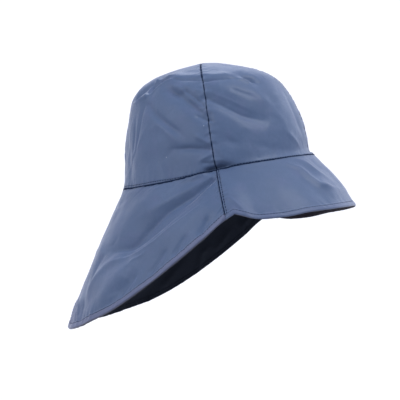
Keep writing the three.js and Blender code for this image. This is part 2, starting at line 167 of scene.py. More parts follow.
SKIRT_FOLDS = {  # path, width, rise, soft, start, end, lean, spread
    "long flap ridge": ([(97, 0.42), (155, 0.25)], 12, 2),
    "fan from the side seam": ([(94, 0.88), (134, 0.46)], 15, -3.4),
    "swell under the band": ([(122, 0.9), (158, 0.55)], 16, 1.8),
    "hollow by the tip": ([(163, 0.34), (158, 0.06)], 11, -1),
    "brim ridge": ([(29, 0.85), (30, 0.4)], 9, 1),
    "brim hollow": ([(44, 0.75), (40, 0.2)], 12, -1),
    "over the notch": ([(84, 0.5), (83, 0.08)], 9, 0.9),
    "ridge crest": ([(98, 0.49), (104, 0.47), (110.2, 0.44), (119.2, 0.39), (127, 0.38), (131.2, 0.39),
        (137, 0.4), (142, 0.41)], 2.4, 1.6, 0.15, 0.1, 0.5, -0.7, 1.2),
    "ridge branch": ([(122, 0.34), (126.2, 0.32), (129.8, 0.33), (132, 0.3)], 1.8, 0.9, 0.2, 0.2, 0.3),
    "hollow over the ridge": ([(103, 0.58), (112, 0.535), (117.5, 0.505), (124.8, 0.475),
        (132.5, 0.465), (143.5, 0.49), (157.5, 0.55)], 5.2, -2.6, 0.7, 0.2, 0.2, 0.6),
    "fan crease": ([(90.6, 0.95), (94.8, 0.83), (98, 0.76), (101.2, 0.7), (106.2, 0.65), (110.5, 0.61)],
        3, -2.4, 0.6, 1, 0.2, 0.2, 2),
    "fan light": ([(93, 0.77), (95.8, 0.7), (98.5, 0.61), (103.2, 0.56)], 5, 1.2, 1, 0.3, 0.3),
    "fan belt": ([(93, 0.86), (102.2, 0.74), (114.2, 0.68), (121.2, 0.6), (129.5, 0.51), (132, 0.43)],
        5.4, -3.2, 0.5, 0.8, 0.3, -0.3, 1.6),
    "fan brow": ([(93, 0.93), (99.2, 0.86), (114.8, 0.78), (124.8, 0.74), (136, 0.69)],
        4.6, 1.8, 0.5, 0.4, 0.1, 0, 2),
    "tip hollow": ([(150, 0.5), (152.8, 0.48), (156.5, 0.43), (157.8, 0.38), (158.5, 0.32), (159, 0.27),
        (160, 0.18)], 4.8, -1.6, 0.8, 0.3, 0.3),
    "tip band": ([(139, 0.41), (142.2, 0.42), (146.5, 0.4), (150.5, 0.36), (156, 0.29), (159.5, 0.21)],
        7, 2.6, 1, 0.5, 0.3),
    "tip crease 1": ([(173, 0.24), (166, 0.12), (162, 0.05)], 2.2, -1.2, 0.3, 0.2, 0.8),
    "tip crease 2": ([(160, 0.2), (157.8, 0.05)], 2.2, -1, 0.3, 0.2, 0.8),
    "tip crease 3": ([(171, 0.2), (167, 0.05)], 1.8, -1, 0.3, 0.2, 0.8),
    "tip crease 4": ([(177, 0.26), (173, 0.06)], 2, -1.4, 0.3, 0.2, 0.8),
    "tip ridge": ([(167, 0.22), (160.5, 0.05)], 2, 1.5, 0.3, 0.2, 0.8),
    "tip ridge 2": ([(176, 0.22), (170, 0.05)], 1.8, 1.4, 0.3, 0.2, 0.8),
    "low ridge": ([(130, 0.3), (140, 0.2), (150, 0.08)], 12, 3.4, 1.5, 0.2, 0.5),
    "low hollow": ([(124, 0.24), (132, 0.14), (140, 0.07)], 6, -1, 0.8, 0.3, 0.5),
    "hem pull 1": ([(95, 0.26), (98, 0.16), (99.5, 0.11)], 4.4, -2, 0.5, 0.2),
    "hem pull 2": ([(104, 0.25), (108, 0.16), (110.5, 0.11)], 4, -1.7, 0.5, 0.1),
    "hem pull 3": ([(113, 0.24), (117, 0.16), (120, 0.11)], 4, -1.6, 0.5, 0.1),
    "hem pull 4": ([(125, 0.19), (130, 0.12), (133, 0.08)], 4, -1.3, 0.5, 0.1),
    "upper flap hollow": ([(172, 0.85), (164, 0.86), (148, 0.92)], 6, -1.2, 0.8, 0.1, 0.3),
    "brim crest": ([(33, 0.94), (30, 0.83), (28.5, 0.72), (26, 0.62), (21, 0.51), (13, 0.44)],
        5.2, 2.1, 0.6, 0.3, 0.1, 0, 1.3),
    "brim hollow front": ([(21, 0.96), (19, 0.86), (17, 0.76), (13, 0.68)],
        5, -0.9, 0.8, 0.4, 0.3, 0, 1.2),
    "brim crest side": ([(44, 0.88), (38.8, 0.77), (37.8, 0.58), (35.2, 0.43), (24.8, 0.33), (8, 0.26)],
        4.8, 2.8, 0.4, 0.3, 0.3, 0, 1.3),
    "brim low swell": ([(34, 0.2), (20, 0.27)], 6, 1, 0.8, 0.3, 0.5),
    "brim notch streak": ([(88, 0.36), (84.5, 0.2), (82.5, 0.08)], 2.4, 1.4, 0.3, 0.2, 0.9),
    "brim side fold": ([(66, 0.9), (62, 0.5), (64, 0.15)], 10, 0.6, 1.5, 0.2, 0.3),
    "brim centre fold": ([(4, 0.9), (6, 0.5), (2, 0.15)], 7, 1, 1, 0.2, 0.3),
}


def smooth(x):
    x = np.clip(x, 0, 1)
    return x * x * (3 - 2 * x)


def between(table, at):
    """The columns of a table after its key column, at any keys, by smooth cubic pieces."""
    key, rows = table[:, 0], table[:, 1:]
    step = np.diff(key)[:, None]
    chord = np.diff(rows, axis=0) / step
    inner = (chord[:-1] * step[1:] + chord[1:] * step[:-1]) / (step[1:] + step[:-1])
    slope = np.vstack([chord[:1], inner, chord[-1:]])
    i = np.clip(np.searchsorted(key, at, side="right") - 1, 0, len(key) - 2)
    t = ((at - key[i]) / step[i, 0])[..., None]
    ends = (2 * t**3 - 3 * t**2 + 1) * rows[i] + (3 * t**2 - 2 * t**3) * rows[i + 1]
    return ends + ((t**3 - 2 * t**2 + t) * slope[i] + (t**3 - t**2) * slope[i + 1]) * step[i]


def unit(vectors):
    return vectors / np.linalg.norm(vectors, axis=-1, keepdims=True)


def both_sides(rows, middle):
    """A table of one half of the hat, carried on to the other half."""
    turned = [(2 * middle - a, x, -y, z, -w) for a, x, y, z, w in rows if a != middle]
    return np.array(sorted(rows + turned))


WHOLE_FRONT_HEM = both_sides(FRONT_HEM, 0)
WHOLE_REAR_HEM = both_sides(REAR_HEM, 180)


def tilted(along, out, height):
    """Points given in the band's tilted plane, in the part's frame."""
    x = along * math.cos(BAND_TILT) - height * math.sin(BAND_TILT)
    return np.stack([x, out, along * math.sin(BAND_TILT) + height * math.cos(BAND_TILT)], -1)


def crown_form(angle, level):
    angle, level = np.broadcast_arrays(np.asarray(angle, float), np.asarray(level, float))
    height, back, front, half, seam = np.moveaxis(between(CROWN_SECTIONS, level), -1, 0)
    turn = np.radians(angle)
    reach = np.where(np.cos(turn) > 0, front - seam, back + seam)
    sag = between(BAND_SAG, 180 - np.abs(np.abs(angle) - 180))[..., 0]
    sag = sag * np.clip(1 - height / SAG_HEIGHT, 0, 1) ** 2
    return tilted(seam + reach * np.cos(turn), half * np.sin(turn), height - sag)


def hem_point(angle):
    row = between(WHOLE_REAR_HEM, np.where(angle < 0, angle + 360, angle))
    front = np.abs(angle) <= NOTCH
    row[front] = between(WHOLE_FRONT_HEM, angle[front])
    return np.stack([row[..., 0], row[..., 1], row[..., 2] + row[..., 3]], -1)


def skirt_form(angle, rise):
    angle, rise = np.broadcast_arrays(np.asarray(angle, float), np.asarray(rise, float))
    turn = np.radians(angle)
    out = unit(np.stack([np.cos(turn), np.sin(turn), np.full_like(turn, 0.6)], -1))
    bow = SKIRT_BULGE * np.sin(np.pi * np.clip(1 - rise, 0, 1) ** 1.2)
    hem, band = hem_point(angle), crown_form(angle, 0)
    return hem + (band - hem) * rise[..., None] + out * bow[..., None]


def normals(form, angle, place, top):
    """Unit normals of a form, out of the hat, from small steps that stay below its top."""
    d_angle, d_place = 0.2, 0.01
    place = np.clip(place, d_place, top - d_place)
    around = form(angle + d_angle, place) - form(angle - d_angle, place)
    up = form(angle, place + d_place) - form(angle, place - d_place)
    return unit(np.cross(around, up))


# Folds as lines on a form
LINE_STEPS = 24
BAND_HOLD = 0.006  # from the band seam, where the skirt follows the crown's edge


def fold_line(form, row, side, rng=None):
    """A fold's line on one side of the hat, 1 the left and -1 the right, or with rng a changed copy."""
    line = fold(*row)
    path = np.array(line.path, float)
    if rng is not None:
        path += [rng.normal(0, 2.5), 0] + rng.normal(0, [1.2, 0.02], path.shape)
        line.rise *= rng.uniform(0.6, 1.1)
        line.width *= rng.uniform(0.9, 1.2)
    share = np.linspace(0, len(path) - 1, LINE_STEPS)
    angle, place = [np.interp(share, np.arange(len(path)), path[:, k]) for k in (0, 1)]
    line.points = form(side * angle, place)
    line.lean *= -side
    return line


def press(points, outward, lines):
    """How far the folds push each point of a form out."""
    flat, out = points.reshape(-1, 3), outward.reshape(-1, 3)
    total = np.zeros(len(flat))
    for line in lines:
        reach = 4 * line.width * max(1, line.spread)
        low, high = line.points.min(0) - reach, line.points.max(0) + reach
        near = np.flatnonzero(((flat > low) & (flat < high)).all(1))
        if not len(near):
            continue
        along = np.diff(line.points, axis=0)
        away = flat[near, None] - line.points[:-1]
        t = np.clip((away * along).sum(-1) / (along**2).sum(-1), 0, 1)
        off = away - t[..., None] * along
        distance = np.linalg.norm(off, axis=-1)
        nearest = distance.argmin(1)
        pick = (np.arange(len(near)), nearest)
        share = (nearest + t[pick]) / len(along)
        left = np.sign((np.cross(along[nearest], off[pick]) * out[near]).sum(-1))
        width = line.width * (1 + (line.spread - 1) * share) * (1 - 0.55 * line.lean * left)
        across = distance[pick] / width
        fall = np.exp(-(1 + 2 * line.soft) * (np.hypot(across, line.soft) - line.soft))
        fade_in = line.start + (1 - line.start) * smooth(share / 0.35)
        fade_out = line.end + (1 - line.end) * smooth((1 - share) / 0.35)
        total[near] += line.rise * fall * fade_in * fade_out
    return total.reshape(points.shape[:-1])


def small_creases(form, count, angles, places, seed, strength=1.0, upright=False):
    """Lines of small creases, spread over a form by chance, any way round or nearly upright."""
    rng = np.random.default_rng(seed)
    lines = []
    for _ in range(count):
        angle, place = rng.uniform(*angles), rng.uniform(*places)
        length = rng.uniform(0.008, 0.030)
        heading = rng.normal(math.pi / 2, 0.25) if upright else rng.uniform(0, math.pi)
        spot = form(angle, place)
        per_angle = np.linalg.norm(form(angle + 0.5, place) - spot) / 0.5
        per_place = np.linalg.norm(form(angle, place - 0.02) - spot) / 0.02
        step = length / 2 * np.array([math.cos(heading) / per_angle, math.sin(heading) / per_place])
        sideways = np.array([-step[1] * per_place / per_angle, step[0] * per_angle / per_place])
        bend = rng.normal(0, 0.25) * sideways
        path = [(angle, place) - step, (angle, place) + bend, (angle, place) + step]
        rise = strength * length / MM * rng.uniform(0.010, 0.020) * rng.choice([-1, 1])
        width = length / MM * rng.uniform(0.09, 0.18)
        row = path, width, rise, rng.uniform(0.3, 1.2), 0.1, 0.1, rng.uniform(-0.6, 0.6)
        lines.append(fold_line(form, row, 1))
    return lines


def surface(form, top, folds, seed):
    """A form with its folds: gives its points, pushed out by the folds, and normals out of the hat."""
    rng = np.random.default_rng(seed)
    lines = [fold_line(form, row, -1) for row in folds.values()]
    lines += [fold_line(form, row, 1, rng) for row in folds.values()]

    def at(angle, place):
        base = form(angle, place)
        out = normals(form, *np.broadcast_arrays(angle, place), top)
        return base + out * press(base, out, lines)[..., None], out
    return at


crown_at = surface(crown_form, 10, CROWN_FOLDS, seed=3)
free_skirt_at = surface(skirt_form, 1, SKIRT_FOLDS, seed=5)


def skirt_at(angle, rise):
    """The skirt's surface, which near the band seam follows the crown's lower edge."""
    angle, rise = np.broadcast_arrays(np.asarray(angle, float), np.asarray(rise, float))
    point, out = free_skirt_at(angle, rise)
    edge = crown_at(angle, np.zeros_like(angle))[0] - crown_form(angle, 0)
    down = (1 - rise) * np.linalg.norm(hem_point(angle) - crown_form(angle, 0), axis=-1)
    held = (1 - smooth(down / BAND_HOLD))[..., None]
    base = skirt_form(angle, rise)
    return base + (point - base) * (1 - held) + edge * held, out


# Fine relief
def ripple(along, seed, shortest, longest, count=7):
    """A wavy value along a seam, of about unit size."""
    rng = np.random.default_rng(seed)
    waves = np.geomspace(shortest, longest, count) * rng.uniform(0.9, 1.1, count)
    total = sum(np.sin(2 * math.pi * along / wave + rng.uniform(0, 2 * math.pi)) for wave in waves)
    return total / math.sqrt(count / 2)


def swell(points, seed, shortest=0.018, longest=0.06, count=14):
    """A slow unevenness over a surface, of about unit size."""
    rng = np.random.default_rng(seed)
    total = 0
    for wave in np.geomspace(shortest, longest, count):
        direction = unit(rng.normal(size=3))
        total = total + np.sin(points @ direction * 2 * math.pi / wave + rng.uniform(0, 2 * math.pi))
    return total / math.sqrt(count / 2)


def round_over(distance, radius, depth):
    """How far a cloth's edge turns down within radius of the edge, as a quarter of an ellipse."""
    x = np.clip(1 - distance / radius, 0, 1)
    return depth * (1 - np.sqrt(1 - x * x))


def bell(value, middle, width):
    """1 at the middle and less to both sides of it."""
    return np.exp(-(((value - middle) / width) ** 2))


def fading(distance, reach):
    """1 at an edge and less away from it."""
    return np.exp(-((distance / reach) ** 1.5))


def groove(distance, place, width, depth):
    return -depth * bell(distance, place, width)


def arc(points, axis):
    """Length along an axis of a grid of points, from its first row or column."""
    step = np.linalg.norm(np.diff(points, axis=axis), axis=-1)
    return np.concatenate([np.zeros_like(np.take(step, [0], axis)), np.cumsum(step, axis)], axis)


def spaced(total, near_start, near_end, count):
    """Places from 0 to total, close together at both ends and even between them."""
    start = np.array(near_start) * min(1, total / (3 * near_start[-1]))
    end = total - np.array(near_end)[::-1] * min(1, total / (3 * near_end[-1]))
    middle = np.linspace(start[-1], end[0], count - len(start) - len(end) + 2)
    return np.concatenate([start[:-1], middle, end[1:]])


# Meshes
def placed(name, data):
    """A new object in the scene."""
    made = bpy.data.objects.new(name, data)
    bpy.context.scene.collection.objects.link(made)
    return made


def closed_cloth(name, outer, inner, u, v, marks):
    """A closed cloth between two grids, with a UV map in metres and named values at its points."""
    rows, columns = outer.shape[:2]
    grid = np.arange(rows * columns).reshape(rows, columns)
    under = grid + rows * columns

    def strip(a, b):
        return np.stack([a[:-1], b[:-1], b[1:], a[1:]], -1)
    quads = [
        np.stack([grid[:-1, :-1], grid[:-1, 1:], grid[1:, 1:], grid[1:, :-1]], -1).reshape(-1, 4),
        np.stack([under[:-1, :-1], under[1:, :-1], under[1:, 1:], under[:-1, 1:]], -1).reshape(-1, 4),
        strip(under[:, 0], grid[:, 0]),
        strip(grid[:, -1], under[:, -1]),
        strip(grid[0], under[0]),
        strip(under[-1], grid[-1]),
    ]
    points = np.concatenate([outer.reshape(-1, 3), inner.reshape(-1, 3)])
    return mesh_object(name, points, np.concatenate(quads), np.stack([u, v], -1).reshape(-1, 2), marks)


def mesh_object(name, points, quads, uv=None, marks=None):
    mesh = bpy.data.meshes.new(name)
    mesh.vertices.add(len(points))
    mesh.vertices.foreach_set("co", points.astype(np.float32).ravel())
    mesh.loops.add(quads.size)
    mesh.loops.foreach_set("vertex_index", quads.astype(np.int32).ravel())
    mesh.polygons.add(len(quads))
    mesh.polygons.foreach_set("loop_start", np.arange(0, quads.size, 4, dtype=np.int32))
    mesh.update(calc_edges=True)
    if uv is not None:
        layer = mesh.uv_layers.new(name="UVMap")
        uv = np.concatenate([uv, uv])[: len(points)]
        layer.data.foreach_set("uv", uv[quads.ravel()].astype(np.float32).ravel())
    for mark, values in (marks or {}).items():
        attribute = mesh.attributes.new(mark, "FLOAT", "POINT")
        attribute.data.foreach_set("value", np.tile(values.ravel(), 2).astype(np.float32))
    mesh.validate()
    mesh.shade_smooth()
    return placed(name, mesh)


# Crown gores
SEAM_ROWS = [0, 0.00025, 0.0006, 0.0010, 0.0015, 0.0021, 0.0028, 0.0036]
BAND_ROWS = [0, 0.0003, 0.0007, 0.0012, 0.0017, 0.0021, 0.0025, 0.0029, 0.0035, 0.0043, 0.0052]
TIP_ROWS = [0, 0.0005, 0.0012, 0.0022]
GORE_COLUMNS, GORE_ROWS = 148, 164
GORE_CREASES, GORE_CREASE_LEVELS = 60, (0.3, 7.5)
CROWN_SWELL, SKIRT_SWELL = 101, 102  # seeds
CROWN_UNEVEN, SKIRT_UNEVEN = 0.00014, 0.00024  # heights of the slow unevenness
SEAM_PUCKER, PUCKER_REACH = 0.00030, 0.006  # height of the waves along a seam, and how far they reach
CROWN_BAND_WAVES, SKIRT_BAND_WAVES, BAND_REACH = 0.00026, 0.00018, 0.005  # the same by the band seam
GORE_SIDE, GORE_FOOT = (0.0012, 0.0010), (0.0012, 0.0011)  # width and depth of its rounded edges
BAND_GROOVE = (0.0006, 0.00035)  # width and depth under the topstitch
NARROW_GORE = 0.012  # width under which the seams grow shallow, by the crown's top
THINNEST = 0.0001  # cloth left under the deepest groove
SEAM_SLIT = 0.00004  # left between two pieces at a seam, half on each side
FINE = 400  # steps that turn lengths into angles and places


def from_nape(angle):
    return np.abs(180 - angle % 360)


def near_top(level):
    """1 over the crown's top, where the seams are wider, and 0 on its sides."""
    return smooth((level - 5.2) / 1.2)


def band_stitch_place(angle):
    """How far above the band seam the topstitch runs: further up behind the side seam."""
    return 0.0010 + 0.0018 * smooth((82 - from_nape(angle)) / 30)


def gore(name, first, last, seed, unrest):
    """A gore of the crown, with its side seams at two angles."""
    fine_level = np.linspace(0, TOP_LEVEL, FINE)
    middle = arc(crown_form((first + last) / 2, fine_level), 0)
    levels = np.interp(spaced(middle[-1], BAND_ROWS, TIP_ROWS, GORE_ROWS), middle, fine_level)
    fine_angle = np.linspace(first, last, FINE)
    angles = []
    for level in levels:
        around = arc(crown_form(fine_angle, level), 0)
        places = spaced(around[-1], SEAM_ROWS, SEAM_ROWS, GORE_COLUMNS)
        places = np.clip(places, SEAM_SLIT / 2, around[-1] - SEAM_SLIT / 2)
        angles.append(np.interp(places, around, fine_angle))
    angle, level = np.array(angles), levels[:, None] + np.zeros(GORE_COLUMNS)
    main, out = crown_at(angle, level)
    from_first, up = arc(main, 1), arc(main, 0)
    width = from_first[:, -1:]
    from_last = width - from_first
    creases = small_creases(crown_form, GORE_CREASES, (first, last), GORE_CREASE_LEVELS, seed, unrest)
    relief = press(main, out, creases) + CROWN_UNEVEN * swell(main, CROWN_SWELL)
    for side, distance in ((first, from_first), (last, from_last)):
        waves = ripple(up + 0.3 * distance, int(side) % 360, 0.005, 0.016)
        relief += SEAM_PUCKER * fading(distance, PUCKER_REACH) * waves
        relief -= smooth(width / NARROW_GORE) * round_over(distance, *GORE_SIDE)
    waves = ripple(from_first, seed + 2, 0.005, 0.015)
    relief += CROWN_BAND_WAVES * unrest**2 * np.exp(-up / BAND_REACH) * waves
    stitch = band_stitch_place(angle)
    relief += groove(up, stitch, *BAND_GROOVE) - round_over(up, *GORE_FOOT)
    side = np.minimum(from_first, from_last)
    # The seam mark paints shade: the gore darkens along its side seams, by the band seam and under the band's
    # topstitch.
    by_side = bell(side, 0, 0.0004 + 0.0005 * near_top(level)) * smooth(width / 0.003)
    stitch_groove_shade = 0.35 * bell(up, stitch, 0.0004) * (np.cos(np.radians(angle)) < 0)
    marks = {
        "seam": np.maximum(np.maximum(by_side, bell(up, 0, 0.0010)), stitch_groove_shade),
        "wear_and_painted_light": 0.3 * bell(side, 0.0020, 0.0010),
    }
    outer = main + out * np.maximum(relief, THINNEST - CLOTH)[..., None]
    piece = closed_cloth(name, outer, main - out * CLOTH, from_first, up, marks)
    return SimpleNamespace(piece=piece, outer=outer, out=out, up=up, from_first=from_first, angle=angle)


# Brim and flap
HEM_ROWS = [0, 0.0002, 0.0005, 0.0009, 0.0014, 0.0021, 0.0029, 0.0037, 0.0043, 0.0047, 0.0050, 0.0053,
            0.0057, 0.0062, 0.0068, 0.0076]
TOP_ROWS = [0, 0.0003, 0.0007, 0.0012, 0.0020]
SEAM_ANGLES = np.array([0.02, 0.12, 0.28, 0.48, 0.72, 1.0, 1.25, 1.5, 1.8, 2.1, 2.5, 3.0])
STITCH_LINE, FLAP_STITCH_LINE = 0.0050, 0.0063  # from the hem's edge
SIDE_STITCH = 0.0022  # from the side seam, on the brim
HEM_GROOVE, SIDE_GROOVE = (0.00045, 0.00045), (0.00045, 0.0004)  # width and depth under the stitches
SIDE_SWELLS = [(0.0012, 0.0006, -0.00030), (0.0034, 0.0010, -0.00015)]  # place, width and depth
SKIRT_SIDE, SKIRT_TOP = (0.0010, 0.0010), (0.0006, 0.0004)  # width and depth of the rounded edges
HEM_PUFF = 0.00025
TURN_UP = [0.0010, 0.0025, 0.0045, 0.0065]  # heights of the seam allowance inside the crown
TURN_UP_FACES = 0.0004, 0.0010  # of the seam allowance, from the crown's inner face
TIP_CREASES, TIP_ANGLES, TIP_RISES = 34, (154, 206), (0.03, 0.34)  # fine wrinkles by the flap's tip


def side_columns(first, last, count):
    """Angles from one side seam to the other, close together by the seams."""
    between_seams = np.linspace(first + SEAM_ANGLES[-1], last - SEAM_ANGLES[-1], count)
    return np.concatenate([first + SEAM_ANGLES[:-1], between_seams, last - SEAM_ANGLES[-2::-1]])


def skirt_grid(angles, near_hem, near_top, count, slit):
    """Angles and rises of a grid whose rows near the hem and the band keep their distance to them."""
    fine_rise = np.linspace(0, 1, FINE)
    rises = []
    for angle in angles:
        length = arc(skirt_form(angle, fine_rise), 0)
        places = np.clip(spaced(length[-1], near_hem, near_top, count), 0, length[-1] - slit)
        rises.append(np.interp(places, length, fine_rise))
    rise = np.array(rises).T
    return angles + np.zeros_like(rise), rise


def skirt_cloth(name, first, last, count, rows, seed, creases, unrest, is_brim, stitch_line):
    """The cloth of the brim or the flap, with its hem's stitches at stitch_line from the edge."""
    wider = stitch_line / STITCH_LINE
    hem_rows = [wider * row for row in HEM_ROWS]
    angle, rise = skirt_grid(side_columns(first, last, count), hem_rows, TOP_ROWS, rows, SEAM_SLIT)
    main, out = skirt_at(angle, rise)
    up, from_first = arc(main, 0), arc(main, 1)
    down, side = up[-1:] - up, np.minimum(from_first, from_first[:, -1:] - from_first)
    above_hem = smooth((up - 0.0035) / 0.002)

    relief = press(main, out, small_creases(skirt_form, creases, (first, last), (0.05, 0.95), seed, unrest))
    if not is_brim:
        tips = small_creases(skirt_form, TIP_CREASES, TIP_ANGLES, TIP_RISES, seed + 1, 0.7, upright=True)
        relief += press(main, out, tips)
    relief += SKIRT_UNEVEN * unrest * swell(main, SKIRT_SWELL)
    waves = ripple(up + 0.3 * side, seed + 2, 0.004, 0.014)
    relief += SEAM_PUCKER * fading(side, PUCKER_REACH) * waves
    waves = ripple(from_first, seed + 3, 0.005, 0.015)
    relief += SKIRT_BAND_WAVES * unrest * np.exp(-down / BAND_REACH) * waves
    waves = ripple(from_first + 0.8 * up, seed + 4, 0.005, 0.014) * smooth(up / stitch_line)
    relief += SEAM_PUCKER * unrest * fading(np.maximum(up - stitch_line, 0), PUCKER_REACH) * waves
    relief *= smooth(up / 0.002)
    band = 1 - smooth((up - wider * HEM_WIDTH + 0.0008) / 0.0012)
    puff = HEM_PUFF * np.sin(math.pi * np.clip(up / stitch_line, 0, 1))
    relief += (HEM_PROUD + puff) * band + groove(up, stitch_line, *HEM_GROOVE)
    if is_brim:
        relief += groove(side, SIDE_STITCH, *SIDE_GROOVE) + sum(groove(side, *row) for row in SIDE_SWELLS)
    relief -= round_over(side, *SKIRT_SIDE) * above_hem + round_over(down, *SKIRT_TOP)

    half_hem = (CLOTH + HEM_PROUD) / 2
    hem_turn = round_over(up, half_hem, half_hem)
    outer_depth = np.maximum(relief, THINNEST - CLOTH) - hem_turn
    inner_depth = -CLOTH + hem_turn * 0.97
    outer, inner = main + out * outer_depth[..., None], main + out * inner_depth[..., None]
    turned, turned_out = crown_at(angle[-1], np.array(TURN_UP)[:, None] / CROWN_SECTIONS[1, 1])
    outer = np.concatenate([outer, turned - turned_out * (CLOTH + TURN_UP_FACES[0])])
    inner = np.concatenate([inner, turned - turned_out * (CLOTH + TURN_UP_FACES[1])])

    # The seam mark paints shade: the cloth darkens by its side seams, by the band seam and along the hem's
    # stitches.
    by_side = bell(side, 0, 0.0004 if is_brim else 0.0007)
    if is_brim:
        by_side = np.maximum(by_side, 0.35 * bell(side, SIDE_STITCH, 0.0004))
    by_hem = 0.45 * bell(up, stitch_line, 0.0004)
    # The edge mark paints shade: darker and browner at the hem's very edge, where the cloth turns under.
    hem_share, edge_shade_share = (0.15, 0.1) if is_brim else (0.4, 0.55)
    nape = from_nape(angle)
    # Paler hem mark: the band under the stitches, painted highlight at the tip, painted sheen at the nape.
    painted_tip_highlight = 0.85 * bell(nape, 0, 17) * bell(up, 0, 0.022)
    painted_nape_sheen = 0.25 * bell(nape, 5, 7) * (1 - smooth((rise - 0.3) / 0.4))
    # Painted sheen: the lower flap paler, in the wear mark beside the real wear over the hem's stitches.
    painted_low_sheen = 0.3 * bell(nape, 31, 13) * bell(rise, 0.27, 0.15)
    hem_band = hem_share * (1 - smooth((up - stitch_line + 0.0002) / 0.0006))
    marks = {
        "seam": np.maximum(np.maximum(by_side * above_hem, bell(down, 0, 0.0007)), by_hem),
        "wear_and_painted_light": np.maximum(0.5 * bell(up, stitch_line + 0.0013, 0.0008), painted_low_sheen),
        "hem": np.maximum(hem_band, np.maximum(painted_tip_highlight, painted_nape_sheen)),
        "edge": edge_shade_share * bell(up, 0, 0.0008),
    }

    def with_turn_up(values, turned=None):
        """Values at the cloth's points, and at its turned-up rows the top row's or a number."""
        top = np.repeat(values[-1:], len(TURN_UP), 0)
        return np.concatenate([values, top if turned is None else np.full_like(top, turned)])
    # The turned-up rows take the full painted seam shade.
    marks = {mark: with_turn_up(values, float(mark == "seam")) for mark, values in marks.items()}
    piece = closed_cloth(name, outer, inner, with_turn_up(from_first), with_turn_up(up), marks)
    return SimpleNamespace(piece=piece, outer=outer[: len(up)], out=out, up=up, from_first=from_first,
                           angle=angle, all_rows=len(outer))


def skirt_lining(name, first, last, count, rows, seed):
    """The dark cloth under the brim or inside the flap, drawn back a little from the hem's edge."""
    angle, rise = skirt_grid(side_columns(first, last, count), HEM_ROWS, TOP_ROWS[1:], rows, 0)
    main, out = skirt_at(angle, rise)
    up, from_first = arc(main, 0), arc(main, 1)
    waves = ripple(from_first + 0.6 * up, seed + 1, 0.006, 0.02)
    relief = 0.0002 * (1 + swell(main, seed)) + 0.00025 * (1 + waves) * np.exp(-up / 0.012)
    relief += 0.0006 * (1 - smooth((up - HEM_WIDTH) / 0.001)) * smooth(up / 0.0008)
    relief += groove(up, STITCH_LINE, 0.0005, 0.0004)
    top_face = CLOTH + GAP + 0.0001
    inner_depth = top_face + LINING - 0.0002 + np.maximum(relief, 0) - round_over(up, *SKIRT_TOP)
    lift = LINING_INSET * np.exp(-up / 0.0015)
    main = main + unit(np.gradient(main, axis=0)) * lift[..., None]
    shifted = up + LINING_INSET * (1 - smooth(up / 0.004))
    outer, inner = main - out * top_face, main - out * inner_depth[..., None]
    # Painted shade: the lining darkens at its edge, where it tucks in under the hem.
    return closed_cloth(name, outer, inner, from_first, up, {"wear_and_painted_light": bell(shifted, 0, 0.0016)})


# Stitches
THREAD = 0.00034  # radius
STITCH_PITCH, STITCH_LENGTH = 0.0031, 0.0023
STITCH_SIDES, STITCH_RINGS = 6, 5
THREAD_SIDES, THREAD_STEP = 8, 0.0008
STITCH_TAPER = (0.45, 0.9, 1, 0.9, 0.45)  # of the radius, at each ring


def read(at, key, values):
    """The points or normals along a line, read at other places on it."""
    return np.stack([np.interp(at, key, values[:, j]) for j in range(3)], -1)


def line_across(part, axis, distance, measure):
    """The line on a cloth at a distance from one of its edges, with its normals."""
    def picked(values):
        moved = np.moveaxis(values, axis, 0)
        return moved.reshape(moved.shape[0], moved.shape[1], -1)
    lengths, points, out = picked(measure)[..., 0], picked(part.outer), picked(part.out)
    distance = np.broadcast_to(distance, lengths.shape[1])
    return [np.array([read(distance[k], lengths[:, k], values[:, k]) for k in range(len(distance))])
            for values in (points, out)]


def mirrored_columns(part):
    """The same cloth with its columns counted from its other side seam."""
    return SimpleNamespace(outer=part.outer[:, ::-1], out=part.out[:, ::-1],
                           from_first=(part.from_first[:, -1:] - part.from_first)[:, ::-1])


def tubes(name, sides, lines):
    """A mesh of tubes with flat ends: each has its rings' centres, two directions across, and radii."""
    points, quads, count = [], [], 0
    turn = np.linspace(0, 2 * math.pi, sides, endpoint=False)
    for centre, across, out, radius in lines:
        spun = across[..., None, :] * np.cos(turn)[:, None] + out[..., None, :] * np.sin(turn)[:, None]
        points.append((centre[:, None] + spun * radius[:, None, None]).reshape(-1, 3))
        grid = count + np.arange(len(centre) * sides).reshape(-1, sides)
        after = np.roll(grid, -1, 1)
        quads.append(np.stack([grid[:-1], grid[1:], after[1:], after[:-1]], -1).reshape(-1, 4))
        for end, flip in ((grid[0], 1), (grid[-1], -1)):
            quads += [end[[[0, k, k + 1, k + 2]]][:, ::flip] for k in range(1, sides - 2, 2)]
        count += grid.size
    return mesh_object(name, np.concatenate(points), np.concatenate(quads))


def stitches(name, lines, thread=THREAD):
    """Short threads of a radius laid end to end along lines on the cloth, sunk at both ends."""
    rings = np.linspace(0, 1, STITCH_RINGS)
    lift = thread * (1.1 * np.sin(math.pi * rings) - 0.5)
    radius = thread * np.array(STITCH_TAPER)
    laid = []
    for line, normal in lines:
        length = arc(line, 0)
        for place in np.arange(STITCH_PITCH / 2, length[-1] - STITCH_PITCH / 2, STITCH_PITCH):
            centre = read(place + STITCH_LENGTH * (rings - 0.5), length, line)
            out = read(place, length, normal)
            across = unit(np.cross(out, unit(centre[-1] - centre[0])))
            laid.append((centre + out * lift[:, None], across, out, radius))
    return tubes(name, STITCH_SIDES, laid)


def run_along(at, angle, place, radius, depth, seed):
    """A run of thread sunk under a line of a form, with its radius a little uneven."""
    line, normal = at(angle, place)
    length = arc(line, 0)
    steps = np.linspace(0, length[-1], int(length[-1] / THREAD_STEP))
    line, normal = read(steps, length, line), read(steps, length, normal)
    radius = np.interp(steps, length, radius) * (1 + 0.06 * ripple(steps, seed, 0.003, 0.02))
    across = unit(np.cross(normal, np.gradient(line, axis=0)))
    return line - normal * np.interp(steps, length, depth)[:, None], across, normal, radius


